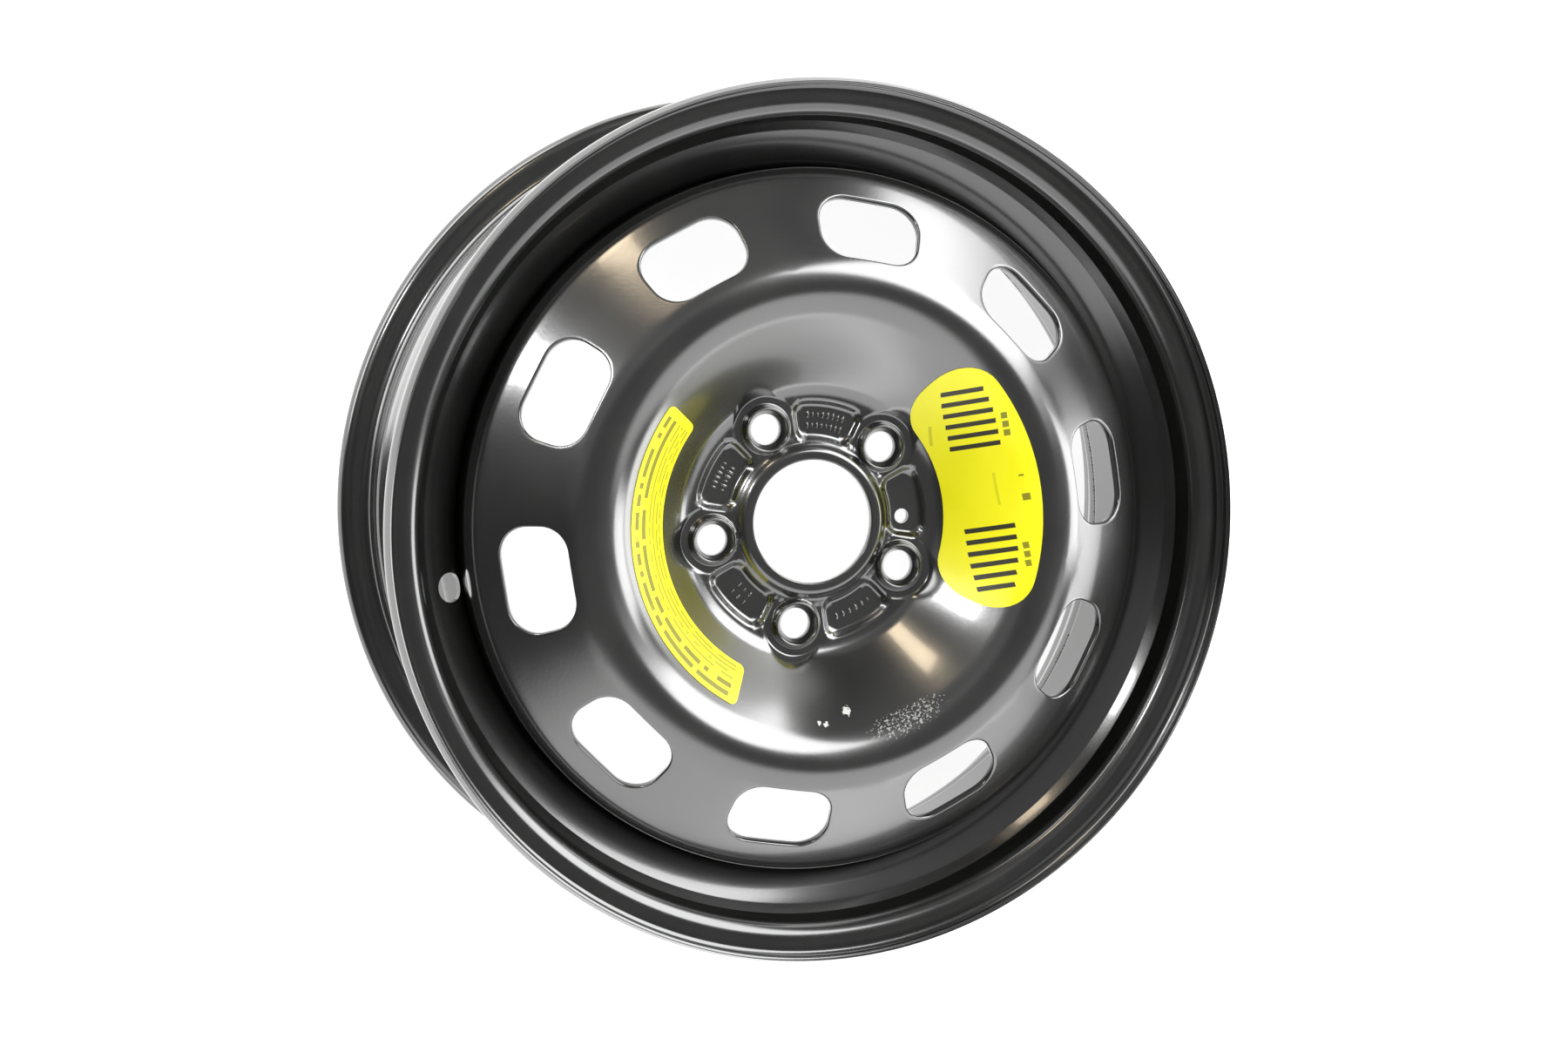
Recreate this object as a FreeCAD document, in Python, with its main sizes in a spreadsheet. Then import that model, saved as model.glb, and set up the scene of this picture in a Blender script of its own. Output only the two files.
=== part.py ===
import FreeCAD, Part
import math
import os
import re
import Sketcher

# Pressed-steel car wheel of the temporary-spare kind, bare, without tyre or valve.
# A rolled rim and a deep-drawn disc are welded together in the rim's well.
# Frame: millimetres, +Z along the axle to the outboard side, origin on the axle
# in the plane where the wheel sits on the hub, +X through the valve hole.

SIZES = {
    # Rim: the rolling contour of the tyre side.
    "rim_width": 152.4,
    "wheel_offset": 48.0,
    "bead_seat_radius": 218.3,
    "flange_radius": 235.8,
    "rim_sheet": 2.6,
    "curl_bend": 6.5,
    "lip_turn": 30.0,
    "lip_length": 2.0,
    "seat_bend": 6.5,
    "seat_taper": 5.0,
    "seat_length": 15.0,
    "hump_run": 4.0,
    "hump_rise": 1.4,
    "hump_bend": 4.5,
    "shoulder_run": 25.5,
    "shoulder_radius": 211.5,
    "shoulder_bend": 6.0,
    "well_radius": 192.8,
    "well_wall_angle": 60.0,
    "well_length": 47.0,
    "well_bend": 8.0,
    "ledge_radius": 206.0,
    "ledge_angle": 32.0,
    "ledge_bend": 12.0,
    "valve_hole": 15.7,
    "valve_radius": 199.0,
    # Disc: the line of its outboard face.
    "disc_sheet": 4.0,
    "disc_fit": 0.1,
    "bore_radius": 33.3,
    "bore_lip_width": 5.2,
    "bore_lip_slope": 4.0,
    "bore_lip_rise": 3.5,
    "bore_lip_bend": 3.0,
    "pad_depth": 3.7,
    "dome_angle": 38.0,
    "dome_crest_radius": 128.3,
    "dome_crest_height": 45.0,
    "dome_bend": 28.0,
    "dome_foot_bend": 14.0,
    "vent_angle": 29.4,
    "disc_flange_bend": 12.0,
    "disc_flange_end": 38.0,
    # Vent slots in the cone outside the dome.
    "vent_count": 10,
    "vent_radius": 158.1,
    "vent_height": 36.9,
    "vent_outer_width": 60.0,
    "vent_inner_width": 51.0,
    "vent_corner": 15.0,
    # Hub face: bolt seats, lobes around them and contact pads between them.
    "bolt_count": 5,
    "bolt_circle": 112.0,
    "bolt_hole": 16.5,
    "bolt_seat": 22.0,
    "collar_foot": 27.0,
    "collar_top": 24.0,
    "collar_height": 4.0,
    "seat_depth": 4.8,
    "lobe_radius": 18.0,
    "lobe_flare": 4.0,
    "lobe_height": 5.0,
    "pad_radius": 54.5,
    "pad_width": 22.0,
    "pad_half_angle": 19.5,
    "pad_corner": 7.0,
    "pad_wall_angle": 35.0,
    "locating_hole": 8.0,
    "locating_radius": 53.0,
    "locating_angle": 172.4,
    # Fillet welds between the disc flange and the well.
    "weld_count": 8,
    "weld_sweep": 26.0,
    "weld_leg": 4.5,
    # Stickers on the dome.
    "label_bond": 0.1,
    "label_film": 0.25,
    "speed_label_inner": 75.0,
    "speed_label_outer": 120.0,
    "speed_label_middle": 182.7,
    "speed_label_half": 39.0,
    "speed_label_corner": 20.0,
    "notice_label_inner": 86.5,
    "notice_label_outer": 107.5,
    "notice_label_middle": 3.0,
    "notice_label_half": 49.6,
    "notice_label_corner": 3.5,
}

doc = FreeCAD.newDocument("spare_wheel")
sheet = doc.addObject("Spreadsheet::Sheet", "Sizes")
for row, (alias, size) in enumerate(SIZES.items(), start=1):
    sheet.set(f"A{row}", alias)
    sheet.set(f"B{row}", str(size))
    sheet.setAlias(f"B{row}", alias)
doc.recompute()

ALIASES = re.compile(r"\b(" + "|".join(SIZES) + r")\b")
AXLE = FreeCAD.Vector(0, 0, 1)
# Upright through the axle, turned so that the spun sheets close clear of the valve hole.
SECTION_PLANE = FreeCAD.Rotation(AXLE, 280) * FreeCAD.Rotation(FreeCAD.Vector(1, 0, 0), 90)


def bound(expression):
    """The expression with every size read from the sheet."""
    return ALIASES.sub(r"Sizes.\1", expression)


def number(expression):
    """The expression's value for the sizes now in the sheet."""
    return float(sheet.evalExpression(ALIASES.sub(r"\1", expression)))


def bind(item, prop, expression):
    item.setExpression(prop, bound(expression))


def bent_outline(sketch, corners, closed):
    """Draw straight runs through the corners with a tangent arc at each bend.

    A corner is three expressions: across, up and bend radius. The ends of an open
    line have no bend. Every corner and radius is a constraint bound to the sheet.
    """
    points = [FreeCAD.Vector(number(across), number(up), 0) for across, up, bend in corners]
    count = len(points)
    bends = range(count) if closed else range(1, count - 1)
    starts = list(points)
    ends = list(points)
    arcs = {}
    for i in bends:
        before = (points[i - 1] - points[i]).normalize()
        after = (points[(i + 1) % count] - points[i]).normalize()
        radius = number(corners[i][2])
        half = before.getAngle(after) / 2
        reach = radius / math.tan(half)
        ends[i] = points[i] + before * reach
        starts[i] = points[i] + after * reach
        centre = points[i] + (before + after).normalize() * (radius / math.sin(half))
        turns_left = (after.cross(before)).z > 0
        first, last = (ends[i], starts[i]) if turns_left else (starts[i], ends[i])
        angles = [math.atan2(p.y - centre.y, p.x - centre.x) for p in (first, last)]
        arcs[i] = (Part.ArcOfCircle(Part.Circle(centre, AXLE, radius), *angles), turns_left)
    runs = count if closed else count - 1
    lines = [
        sketch.addGeometry(Part.LineSegment(starts[i], ends[(i + 1) % count]))
        for i in range(runs)
    ]
    for i, (across, up, bend) in enumerate(corners):
        if i in arcs:
            curve, turns_left = arcs[i]
            arc = sketch.addGeometry(curve)
            entry, leave = (1, 2) if turns_left else (2, 1)
            sketch.addConstraint(Sketcher.Constraint("Tangent", lines[i - 1], 2, arc, entry))
            sketch.addConstraint(Sketcher.Constraint("Tangent", arc, leave, lines[i], 1))
            hold = sketch.addConstraint(Sketcher.Constraint("Radius", arc, number(bend)))
            bind(sketch, f"Constraints[{hold}]", bend)
            target = (sketch.addGeometry(Part.Point(points[i]), True), 1)
            for line in (lines[i - 1], lines[i]):
                sketch.addConstraint(Sketcher.Constraint("PointOnObject", *target, line))
        else:
            target = (lines[0], 1) if i == 0 else (lines[-1], 2)
        for kind, expression in (("DistanceX", across), ("DistanceY", up)):
            hold = sketch.addConstraint(Sketcher.Constraint(kind, -1, 1, *target, number(expression)))
            bind(sketch, f"Constraints[{hold}]", expression)


def sector_outline(sketch, inner, outer, half_angle, corner):
    """Draw a sector of a ring about the sketch's X axis, its four corners rounded."""
    inside = number(inner)
    outside = number(outer)
    half = math.radians(number(half_angle))
    radius = number(corner)
    origin = FreeCAD.Vector()

    def direction(angle):
        return FreeCAD.Vector(math.cos(angle), math.sin(angle), 0)

    def rounding(distance, side):
        """Centre of a corner's arc and the angle at which its ring arc ends."""
        angle = side * (half - math.asin(radius / distance))
        return direction(angle) * distance, angle

    far = outside - radius
    near = inside + radius
    quarter = math.pi / 2
    low_out, low_out_angle = rounding(far, -1)
    high_out, high_out_angle = rounding(far, 1)
    low_in, low_in_angle = rounding(near, -1)
    high_in, high_in_angle = rounding(near, 1)

    def arc(centre, size, first, last):
        return sketch.addGeometry(Part.ArcOfCircle(Part.Circle(centre, AXLE, size), first, last))

    def side_line(angle):
        ends = [direction(angle) * (distance * math.sqrt(1 - (radius / distance) ** 2))
                for distance in (near, far)]
        return sketch.addGeometry(Part.LineSegment(*ends))

    outer_arc = arc(origin, outside, low_out_angle, high_out_angle)
    inner_arc = arc(origin, inside, low_in_angle, high_in_angle)
    low_line = side_line(-half)
    high_line = side_line(half)
    corners = [
        arc(low_out, radius, -half - quarter, low_out_angle),
        arc(high_out, radius, high_out_angle, half + quarter),
        arc(low_in, radius, low_in_angle - math.pi, -half - quarter),
        arc(high_in, radius, half + quarter, high_in_angle + math.pi),
    ]
    joints = [
        (outer_arc, 1, corners[0], 2), (corners[0], 1, low_line, 2),
        (outer_arc, 2, corners[1], 1), (corners[1], 2, high_line, 2),
        (inner_arc, 1, corners[2], 1), (corners[2], 2, low_line, 1),
        (inner_arc, 2, corners[3], 2), (corners[3], 1, high_line, 1),
    ]
    for joint in joints:
        sketch.addConstraint(Sketcher.Constraint("Tangent", *joint))
    for ring in (outer_arc, inner_arc):
        sketch.addConstraint(Sketcher.Constraint("Coincident", ring, 3, -1, 1))
    sizes = [(outer_arc, outer), (inner_arc, inner)] + [(item, corner) for item in corners]
    for item, expression in sizes:
        hold = sketch.addConstraint(Sketcher.Constraint("Radius", item, number(expression)))
        bind(sketch, f"Constraints[{hold}]", expression)
    for line, sign in ((low_line, "-"), (high_line, "")):
        sketch.addConstraint(Sketcher.Constraint("PointOnObject", -1, 1, line))
        turn = math.radians(number(f"{sign}{half_angle}"))
        hold = sketch.addConstraint(Sketcher.Constraint("Angle", line, turn))
        bind(sketch, f"Constraints[{hold}]", f"{sign}{half_angle} * 1 deg")


def section_line(name, corners):
    """An open line in the section plane, across by radius and up by height."""
    sketch = doc.addObject("Sketcher::SketchObject", name)
    sketch.Placement.Rotation = SECTION_PLANE
    bent_outline(sketch, corners, closed=False)
    return sketch


def spun_sheet(name, line, thickness):
    """Sheet of even thickness on one side of a section line, spun round the axle."""
    section = doc.addObject("Part::Offset2D", name + "_section")
    section.Source = line
    section.Mode = "Skin"
    section.Join = "Intersection"
    section.Fill = True
    bind(section, "Value", thickness)
    spun = doc.addObject("Part::Revolution", name + "_spun")
    spun.Source = section
    spun.Axis = AXLE
    spun.Angle = 360
    doc.recompute()
    return spun


def origin_plane(body, role):
    return next(item for item in body.Origin.OriginFeatures if item.Role == role)


def body_sketch(body, name, role):
    sketch = body.newObject("Sketcher::SketchObject", name)
    sketch.AttachmentSupport = [(origin_plane(body, role), "")]
    sketch.MapMode = "FlatFace"
    return sketch


def place_on_hub(item, body, across, up):
    """Stand a primitive of the body on the X axis, parallel to the axle."""
    item.AttachmentSupport = [(origin_plane(body, "XY_Plane"), "")]
    item.MapMode = "FlatFace"
    bind(item, "AttachmentOffset.Base.x", across)
    bind(item, "AttachmentOffset.Base.z", up)


def polar(body, name, features, occurrences):
    """Repeat features of the body evenly round the axle."""
    doc.recompute()
    pattern = body.newObject("PartDesign::PolarPattern", name)
    pattern.Originals = features
    pattern.Axis = (origin_plane(body, "Z_Axis"), [""])
    pattern.Angle = 360
    bind(pattern, "Occurrences", occurrences)
    body.Tip = pattern
    doc.recompute()


# Rim. The contour mirrors from the outboard to the inboard bead, apart from the well,
# which lies nearer to the outboard side so that the tyre can be mounted over it.
OUTBOARD_FACE = "(rim_width / 2 - wheel_offset)"
INBOARD_FACE = "(-rim_width / 2 - wheel_offset)"
CURL_CORNER = "flange_radius - curl_bend + curl_bend * (1 + sin(lip_turn)) / cos(lip_turn)"
LIP_RADIUS = "flange_radius - curl_bend + curl_bend * cos(lip_turn) - lip_length * sin(lip_turn)"
LIP_REACH = "(curl_bend + curl_bend * sin(lip_turn) + lip_length * cos(lip_turn))"
HUMP_FOOT = "(bead_seat_radius - seat_length * tan(seat_taper))"
WALL_RUN = "(shoulder_radius - well_radius) / tan(well_wall_angle)"
WELL_FRONT = f"({OUTBOARD_FACE} - shoulder_run - {WALL_RUN})"
WELL_REAR = f"({WELL_FRONT} - well_length)"
LEDGE = f"({WELL_REAR} - (ledge_radius - well_radius) / tan(ledge_angle))"


def bead_corners(face, inward):
    """Corners of one bead from its lip to the shoulder of the well."""
    outward = "-" if inward == "+" else "+"
    return [
        (LIP_RADIUS, f"{face} {outward} {LIP_REACH}", None),
        (CURL_CORNER, face, "curl_bend"),
        ("bead_seat_radius", face, "seat_bend"),
        (HUMP_FOOT, f"{face} {inward} seat_length", "hump_bend"),
        (f"{HUMP_FOOT} + hump_rise", f"{face} {inward} (seat_length + hump_run)", "hump_bend"),
        ("shoulder_radius", f"{face} {inward} shoulder_run", "shoulder_bend"),
    ]


rim_line = section_line(
    "rim_line",
    bead_corners(OUTBOARD_FACE, "-")
    + [
        ("well_radius", WELL_FRONT, "well_bend"),
        ("well_radius", WELL_REAR, "well_bend"),
        ("ledge_radius", LEDGE, "ledge_bend"),
    ]
    + bead_corners(INBOARD_FACE, "+")[::-1],
)
rim_spun = spun_sheet("rim", rim_line, "-rim_sheet")

# The valve hole is pierced square to the outboard wall of the well.
valve_punch = doc.addObject("Part::Cylinder", "valve_punch")
VALVE_HEIGHT = f"{WELL_FRONT} + (valve_radius - well_radius) / tan(well_wall_angle)"
PUNCH_LENGTH = "(rim_sheet * 8)"
valve_punch.Placement.Rotation = FreeCAD.Rotation(FreeCAD.Vector(0, 1, 0), -1)
bind(valve_punch, "Radius", "valve_hole / 2")
bind(valve_punch, "Height", PUNCH_LENGTH)
bind(valve_punch, "Placement.Rotation.Angle", "(well_wall_angle - 90) * 1 deg")
bind(valve_punch, "Placement.Base.x",
     f"valve_radius + {PUNCH_LENGTH} / 2 * cos(well_wall_angle)")
bind(valve_punch, "Placement.Base.z",
     f"{VALVE_HEIGHT} - {PUNCH_LENGTH} / 2 * sin(well_wall_angle)")
rim = doc.addObject("Part::Cut", "rim")
rim.Base = rim_spun
rim.Tool = valve_punch
rim.Label = "rim"

# Disc. Lines of its outboard face: bore lip, hub face, dome and vent cone, then the
# flange that slides into the well.
HUB_FRONT = "(disc_sheet + pad_depth)"
CREST_CORNER = (
    "(dome_crest_radius + dome_bend * (cos(dome_angle) - cos(vent_angle)) / sin(dome_angle + vent_angle))"
)
CREST_HEIGHT = (
    "(dome_crest_height - dome_bend"
    " + dome_bend * (sin(dome_angle) + sin(vent_angle)) / sin(dome_angle + vent_angle))"
)
FLANGE_OUTER = "(well_radius - rim_sheet - disc_fit)"
VENT_HEIGHT = f"({CREST_HEIGHT} - (vent_radius - {CREST_CORNER}) * tan(vent_angle))"
disc_line = section_line("disc_line", [
    ("bore_radius", f"{HUB_FRONT} + bore_lip_rise", None),
    ("bore_radius + bore_lip_width", f"{HUB_FRONT} + bore_lip_rise", "bore_lip_bend"),
    ("bore_radius + bore_lip_width + bore_lip_slope", HUB_FRONT, "bore_lip_bend"),
    (f"{CREST_CORNER} - ({CREST_HEIGHT} - {HUB_FRONT}) / tan(dome_angle)", HUB_FRONT, "dome_foot_bend"),
    (CREST_CORNER, CREST_HEIGHT, "dome_bend"),
    (FLANGE_OUTER, f"{CREST_HEIGHT} - ({FLANGE_OUTER} - {CREST_CORNER}) * tan(vent_angle)", "disc_flange_bend"),
    (FLANGE_OUTER, "-disc_flange_end", None),
])
disc_spun = spun_sheet("disc", disc_line, "-disc_sheet")
disc = doc.addObject("PartDesign::Body", "disc")
disc.BaseFeature = disc_spun
doc.recompute()

# Vent slots: a rounded trapezium, wider towards the rim, pierced square to the cone.
vent_outline = body_sketch(disc, "vent_outline", "XY_Plane")
vent_outline.AttachmentOffset = FreeCAD.Placement(
    FreeCAD.Vector(), FreeCAD.Rotation(FreeCAD.Vector(0, 1, 0), 1))
bind(vent_outline, "AttachmentOffset.Base.x", "vent_radius")
bind(vent_outline, "AttachmentOffset.Base.z", VENT_HEIGHT)
bind(vent_outline, "AttachmentOffset.Rotation.Angle", "vent_angle * 1 deg")
bent_outline(vent_outline, [
    ("vent_height / 2", "-vent_outer_width / 2", "vent_corner"),
    ("vent_height / 2", "vent_outer_width / 2", "vent_corner"),
    ("-vent_height / 2", "vent_inner_width / 2", "vent_corner"),
    ("-vent_height / 2", "-vent_inner_width / 2", "vent_corner"),
], closed=True)
vent = disc.newObject("PartDesign::Pocket", "vent")
vent.Profile = vent_outline
vent.Midplane = True
bind(vent, "Length", "disc_sheet * 4")
polar(disc, "vents", [vent], "vent_count")

# Bolt seats: the hub face swells into a lobe round each bolt, which holds a raised
# collar with a conical seat.
lobe_back = disc.newObject("PartDesign::AdditiveCylinder", "lobe_back")
place_on_hub(lobe_back, disc, "bolt_circle / 2", "pad_depth")
bind(lobe_back, "Radius", "lobe_radius + lobe_flare")
bind(lobe_back, "Height", "disc_sheet")
lobe = disc.newObject("PartDesign::SubtractiveCone", "lobe")
place_on_hub(lobe, disc, "bolt_circle / 2", HUB_FRONT)
bind(lobe, "Radius1", "lobe_radius")
bind(lobe, "Radius2", "lobe_radius + lobe_flare")
bind(lobe, "Height", "lobe_height")
collar = disc.newObject("PartDesign::AdditiveCone", "collar")
place_on_hub(collar, disc, "bolt_circle / 2", HUB_FRONT)
bind(collar, "Radius1", "collar_foot / 2")
bind(collar, "Radius2", "collar_top / 2")
bind(collar, "Height", "collar_height")
bolt_cone = disc.newObject("PartDesign::SubtractiveCone", "bolt_cone")
place_on_hub(bolt_cone, disc, "bolt_circle / 2", f"{HUB_FRONT} + collar_height - seat_depth")
bind(bolt_cone, "Radius1", "bolt_hole / 2")
bind(bolt_cone, "Radius2", "bolt_seat / 2")
bind(bolt_cone, "Height", "seat_depth")
bolt_bore = disc.newObject("PartDesign::SubtractiveCylinder", "bolt_bore")
place_on_hub(bolt_bore, disc, "bolt_circle / 2", "0")
bind(bolt_bore, "Radius", "bolt_hole / 2")
bind(bolt_bore, "Height", f"{HUB_FRONT} + collar_height")
polar(disc, "bolt_seats", [lobe_back, lobe, collar, bolt_cone, bolt_bore], "bolt_count")

# Contact pads between the bolts: pressed back to the plane of the hub.
def pad_outline(name, up, swell):
    """Outline of the pad that lies midway between the first two bolts."""
    sketch = body_sketch(disc, name, "XY_Plane")
    sketch.AttachmentOffset = FreeCAD.Placement(FreeCAD.Vector(), FreeCAD.Rotation(AXLE, 1))
    bind(sketch, "AttachmentOffset.Base.z", up)
    bind(sketch, "AttachmentOffset.Rotation.Angle", "180 / bolt_count * 1 deg")
    sector_outline(
        sketch,
        f"(pad_radius - pad_width / 2 - {swell})",
        f"(pad_radius + pad_width / 2 + {swell})",
        f"(pad_half_angle + {swell} / pad_radius * 180 / pi)",
        f"(pad_corner + {swell})",
    )
    return sketch


PAD_SWELL = "(disc_sheet * tan(pad_wall_angle / 2))"
pad_back = disc.newObject("PartDesign::Pad", "pad_back")
pad_back.Profile = pad_outline("pad_back_outline", "pad_depth", PAD_SWELL)
pad_back.Reversed = True
bind(pad_back, "Length", "pad_depth")
bind(pad_back, "TaperAngle", "-pad_wall_angle")
pad_front = disc.newObject("PartDesign::Pocket", "pad_front")
pad_front.Profile = pad_outline("pad_front_outline", HUB_FRONT, "0")
bind(pad_front, "Length", "pad_depth")
bind(pad_front, "TaperAngle", "-pad_wall_angle")
polar(disc, "pads", [pad_back, pad_front], "bolt_count")

# Locating hole for the hub's set screw, in one of the pads.
locating = disc.newObject("PartDesign::SubtractiveCylinder", "locating")
place_on_hub(locating, disc, "locating_radius * cos(locating_angle)", "0")
bind(locating, "AttachmentOffset.Base.y", "locating_radius * sin(locating_angle)")
bind(locating, "Radius", "locating_hole / 2")
bind(locating, "Height", HUB_FRONT)
disc.Label = "disc"
doc.recompute()

# Weld beads: short fillets in the corner between the end of the disc flange and the well.
weld_beads = doc.addObject("PartDesign::Body", "weld_beads")
weld_beads.AllowCompound = True
WELD_CORNER = "(well_radius - rim_sheet)"
bead_section = body_sketch(weld_beads, "bead_section", "XZ_Plane")
bead_corners_at = [
    (WELD_CORNER, "-disc_flange_end"),
    (f"{WELD_CORNER} - weld_leg", "-disc_flange_end"),
    (WELD_CORNER, "-disc_flange_end - weld_leg"),
]
bead_points = [FreeCAD.Vector(number(across), number(up), 0) for across, up in bead_corners_at]
for i in range(3):
    bead_section.addGeometry(Part.LineSegment(bead_points[i], bead_points[(i + 1) % 3]))
for i, place in enumerate(bead_corners_at):
    bead_section.addConstraint(Sketcher.Constraint("Coincident", i, 2, (i + 1) % 3, 1))
    for kind, expression in zip(("DistanceX", "DistanceY"), place):
        hold = bead_section.addConstraint(Sketcher.Constraint(kind, -1, 1, i, 1, number(expression)))
        bind(bead_section, f"Constraints[{hold}]", expression)
bead = weld_beads.newObject("PartDesign::Revolution", "bead")
bead.Profile = bead_section
bead.ReferenceAxis = (origin_plane(weld_beads, "Z_Axis"), [""])
bead.Midplane = True
bind(bead, "Angle", "weld_sweep * 1 deg")
polar(weld_beads, "beads", [bead], "weld_count")
weld_beads.Label = "weld_beads"


# Stickers: printed film laid on the dome over a layer of adhesive. Each is cut from one
# thin skin over the disc.
label_line = doc.addObject("Part::Offset2D", "label_line")
label_line.Source = disc_line
label_line.Mode = "Skin"
label_line.Join = "Intersection"
bind(label_line, "Value", "label_bond")
label_skin = spun_sheet("label_skin", label_line, "label_film")


def sticker(name):
    outline = doc.addObject("Sketcher::SketchObject", name + "_outline")
    outline.Placement.Rotation = FreeCAD.Rotation(AXLE, 1)
    bind(outline, "Placement.Rotation.Angle", f"{name}_middle * 1 deg")
    sector_outline(outline, f"{name}_inner", f"{name}_outer", f"{name}_half", f"{name}_corner")
    doc.recompute()
    cutter = doc.addObject("Part::Extrusion", name + "_cutter")
    cutter.Base = outline
    cutter.DirMode = "Custom"
    cutter.Dir = AXLE
    cutter.Solid = True
    bind(cutter, "LengthFwd", "dome_crest_height + disc_sheet")
    film = doc.addObject("Part::Common", name)
    film.Base = label_skin
    film.Tool = cutter
    film.Label = name
    return film


speed_label = sticker("speed_label")
notice_label = sticker("notice_label")
doc.recompute()

# Nothing is written unless every step of the model came out whole.
for item in doc.Objects:
    if "Invalid" in item.State or "Error" in item.State:
        raise RuntimeError(f"{item.Name} did not build: {item.State}")
if not disc.Shape.Volume < disc_spun.Shape.Volume:
    raise RuntimeError("the vent slots took nothing from the disc")
if not rim.Shape.Volume < rim_spun.Shape.Volume:
    raise RuntimeError("the valve hole took nothing from the rim")
os.makedirs("parts", exist_ok=True)
pieces = [rim, disc, weld_beads, speed_label, notice_label]
for piece in pieces:
    if piece.Shape.isNull() or not piece.Shape.isValid():
        raise RuntimeError(f"{piece.Label} is not a valid solid")
for piece in pieces:
    piece.Shape.exportStep(f"parts/{piece.Label}.step")
    print(piece.Label, len(piece.Shape.Solids), "solids", round(piece.Shape.Volume / 1000, 2), "cm3")
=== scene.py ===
import math

import bmesh
import bpy
import numpy as np
from mathutils import Matrix, Vector, geometry


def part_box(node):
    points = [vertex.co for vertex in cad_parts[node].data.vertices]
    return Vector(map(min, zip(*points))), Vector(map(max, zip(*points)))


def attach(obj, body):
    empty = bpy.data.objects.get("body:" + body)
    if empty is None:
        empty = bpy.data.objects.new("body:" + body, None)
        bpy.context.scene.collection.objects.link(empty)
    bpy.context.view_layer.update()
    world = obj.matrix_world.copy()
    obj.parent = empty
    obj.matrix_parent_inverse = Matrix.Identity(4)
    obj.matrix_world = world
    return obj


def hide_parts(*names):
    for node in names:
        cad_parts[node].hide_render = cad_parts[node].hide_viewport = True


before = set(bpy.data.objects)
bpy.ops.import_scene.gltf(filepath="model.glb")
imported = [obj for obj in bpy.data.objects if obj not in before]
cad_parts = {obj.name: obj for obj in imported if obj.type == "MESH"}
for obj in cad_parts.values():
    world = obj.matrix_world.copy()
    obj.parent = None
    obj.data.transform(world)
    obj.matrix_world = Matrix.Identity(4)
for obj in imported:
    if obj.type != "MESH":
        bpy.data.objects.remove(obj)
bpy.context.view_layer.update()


# Rim: one strip of 2.6 mm steel, butt-welded into a hoop, rolled to the contour that holds
# the tyre and dipped in black paint with the rest of the wheel. The valve hole is pierced
# through the outboard wall of its well.
def bent_line(corners, run, turn):
    """Points of straight runs joined by tangent arcs, with their right-hand normals."""
    spots = [np.array(corner[:2], float) for corner in corners]
    places, normals = [], []
    start = spots[0]
    for i in range(1, len(spots)):
        along = spots[i] - spots[i - 1]
        along = along / np.linalg.norm(along)
        side = np.array([along[1], -along[0]])
        end = spots[i]
        bend = None
        if i < len(spots) - 1:
            onward = spots[i + 1] - spots[i]
            onward = onward / np.linalg.norm(onward)
            swing = math.atan2(along[0] * onward[1] - along[1] * onward[0], along @ onward)
            reach = corners[i][2] * math.tan(abs(swing) / 2)
            end = spots[i] - along * reach
            bend = swing
        count = max(1, math.ceil(np.linalg.norm(end - start) / run))
        for share in np.arange(count) / count:
            places.append(start + (end - start) * share)
            normals.append(side)
        if bend is None:
            places.append(end)
            normals.append(side)
            continue
        radius = corners[i][2]
        centre = end - side * radius * math.copysign(1, bend)
        steps = max(2, math.ceil(abs(bend) / turn))
        for share in np.arange(steps) / steps:
            c, s = math.cos(bend * share), math.sin(bend * share)
            normal = np.array([c * side[0] - s * side[1], s * side[0] + c * side[1]])
            places.append(centre + normal * radius * math.copysign(1, bend))
            normals.append(normal)
        start = spots[i] + onward * reach
    return np.array(places), np.array(normals)


def rounded_end(places, normals, thickness, edge):
    """Points round the cut end of a sheet, from its line to the far face."""
    along = np.array([-normals[-1][1], normals[-1][0]])
    side = normals[-1]
    tip = places[-1]
    turns = np.linspace(0, math.pi / 2, 5)
    near = [
        tip + side * edge * (1 - math.cos(t)) - along * edge * (1 - math.sin(t)) for t in turns]
    far = [
        tip + side * (thickness - edge * (1 - math.sin(t))) - along * edge * (1 - math.cos(t))
        for t in turns]
    return np.array(near + far)


def piece_from(name, places, faces, material):
    """A mesh piece in metres from points in millimetres, closed and facing outwards."""
    shell = bmesh.new()
    corners = [shell.verts.new(place) for place in np.asarray(places, float) / 1000]
    for face in faces:
        shell.faces.new([corners[i] for i in face])
    bmesh.ops.remove_doubles(shell, verts=shell.verts, dist=2e-6)
    bmesh.ops.recalc_face_normals(shell, faces=shell.faces)
    mesh = bpy.data.meshes.new(name)
    shell.to_mesh(mesh)
    shell.free()
    mesh.materials.append(material)
    mesh.polygons.foreach_set("use_smooth", [True] * len(mesh.polygons))
    piece = bpy.data.objects.new(name, mesh)
    bpy.context.scene.collection.objects.link(piece)
    return piece


def keep_result(piece):
    """Replace the piece's mesh by what its modifiers make of it."""
    bpy.context.view_layer.update()
    made = bpy.data.meshes.new_from_object(
        piece.evaluated_get(bpy.context.evaluated_depsgraph_get()))
    piece.modifiers.clear()
    piece.data = made


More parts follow.
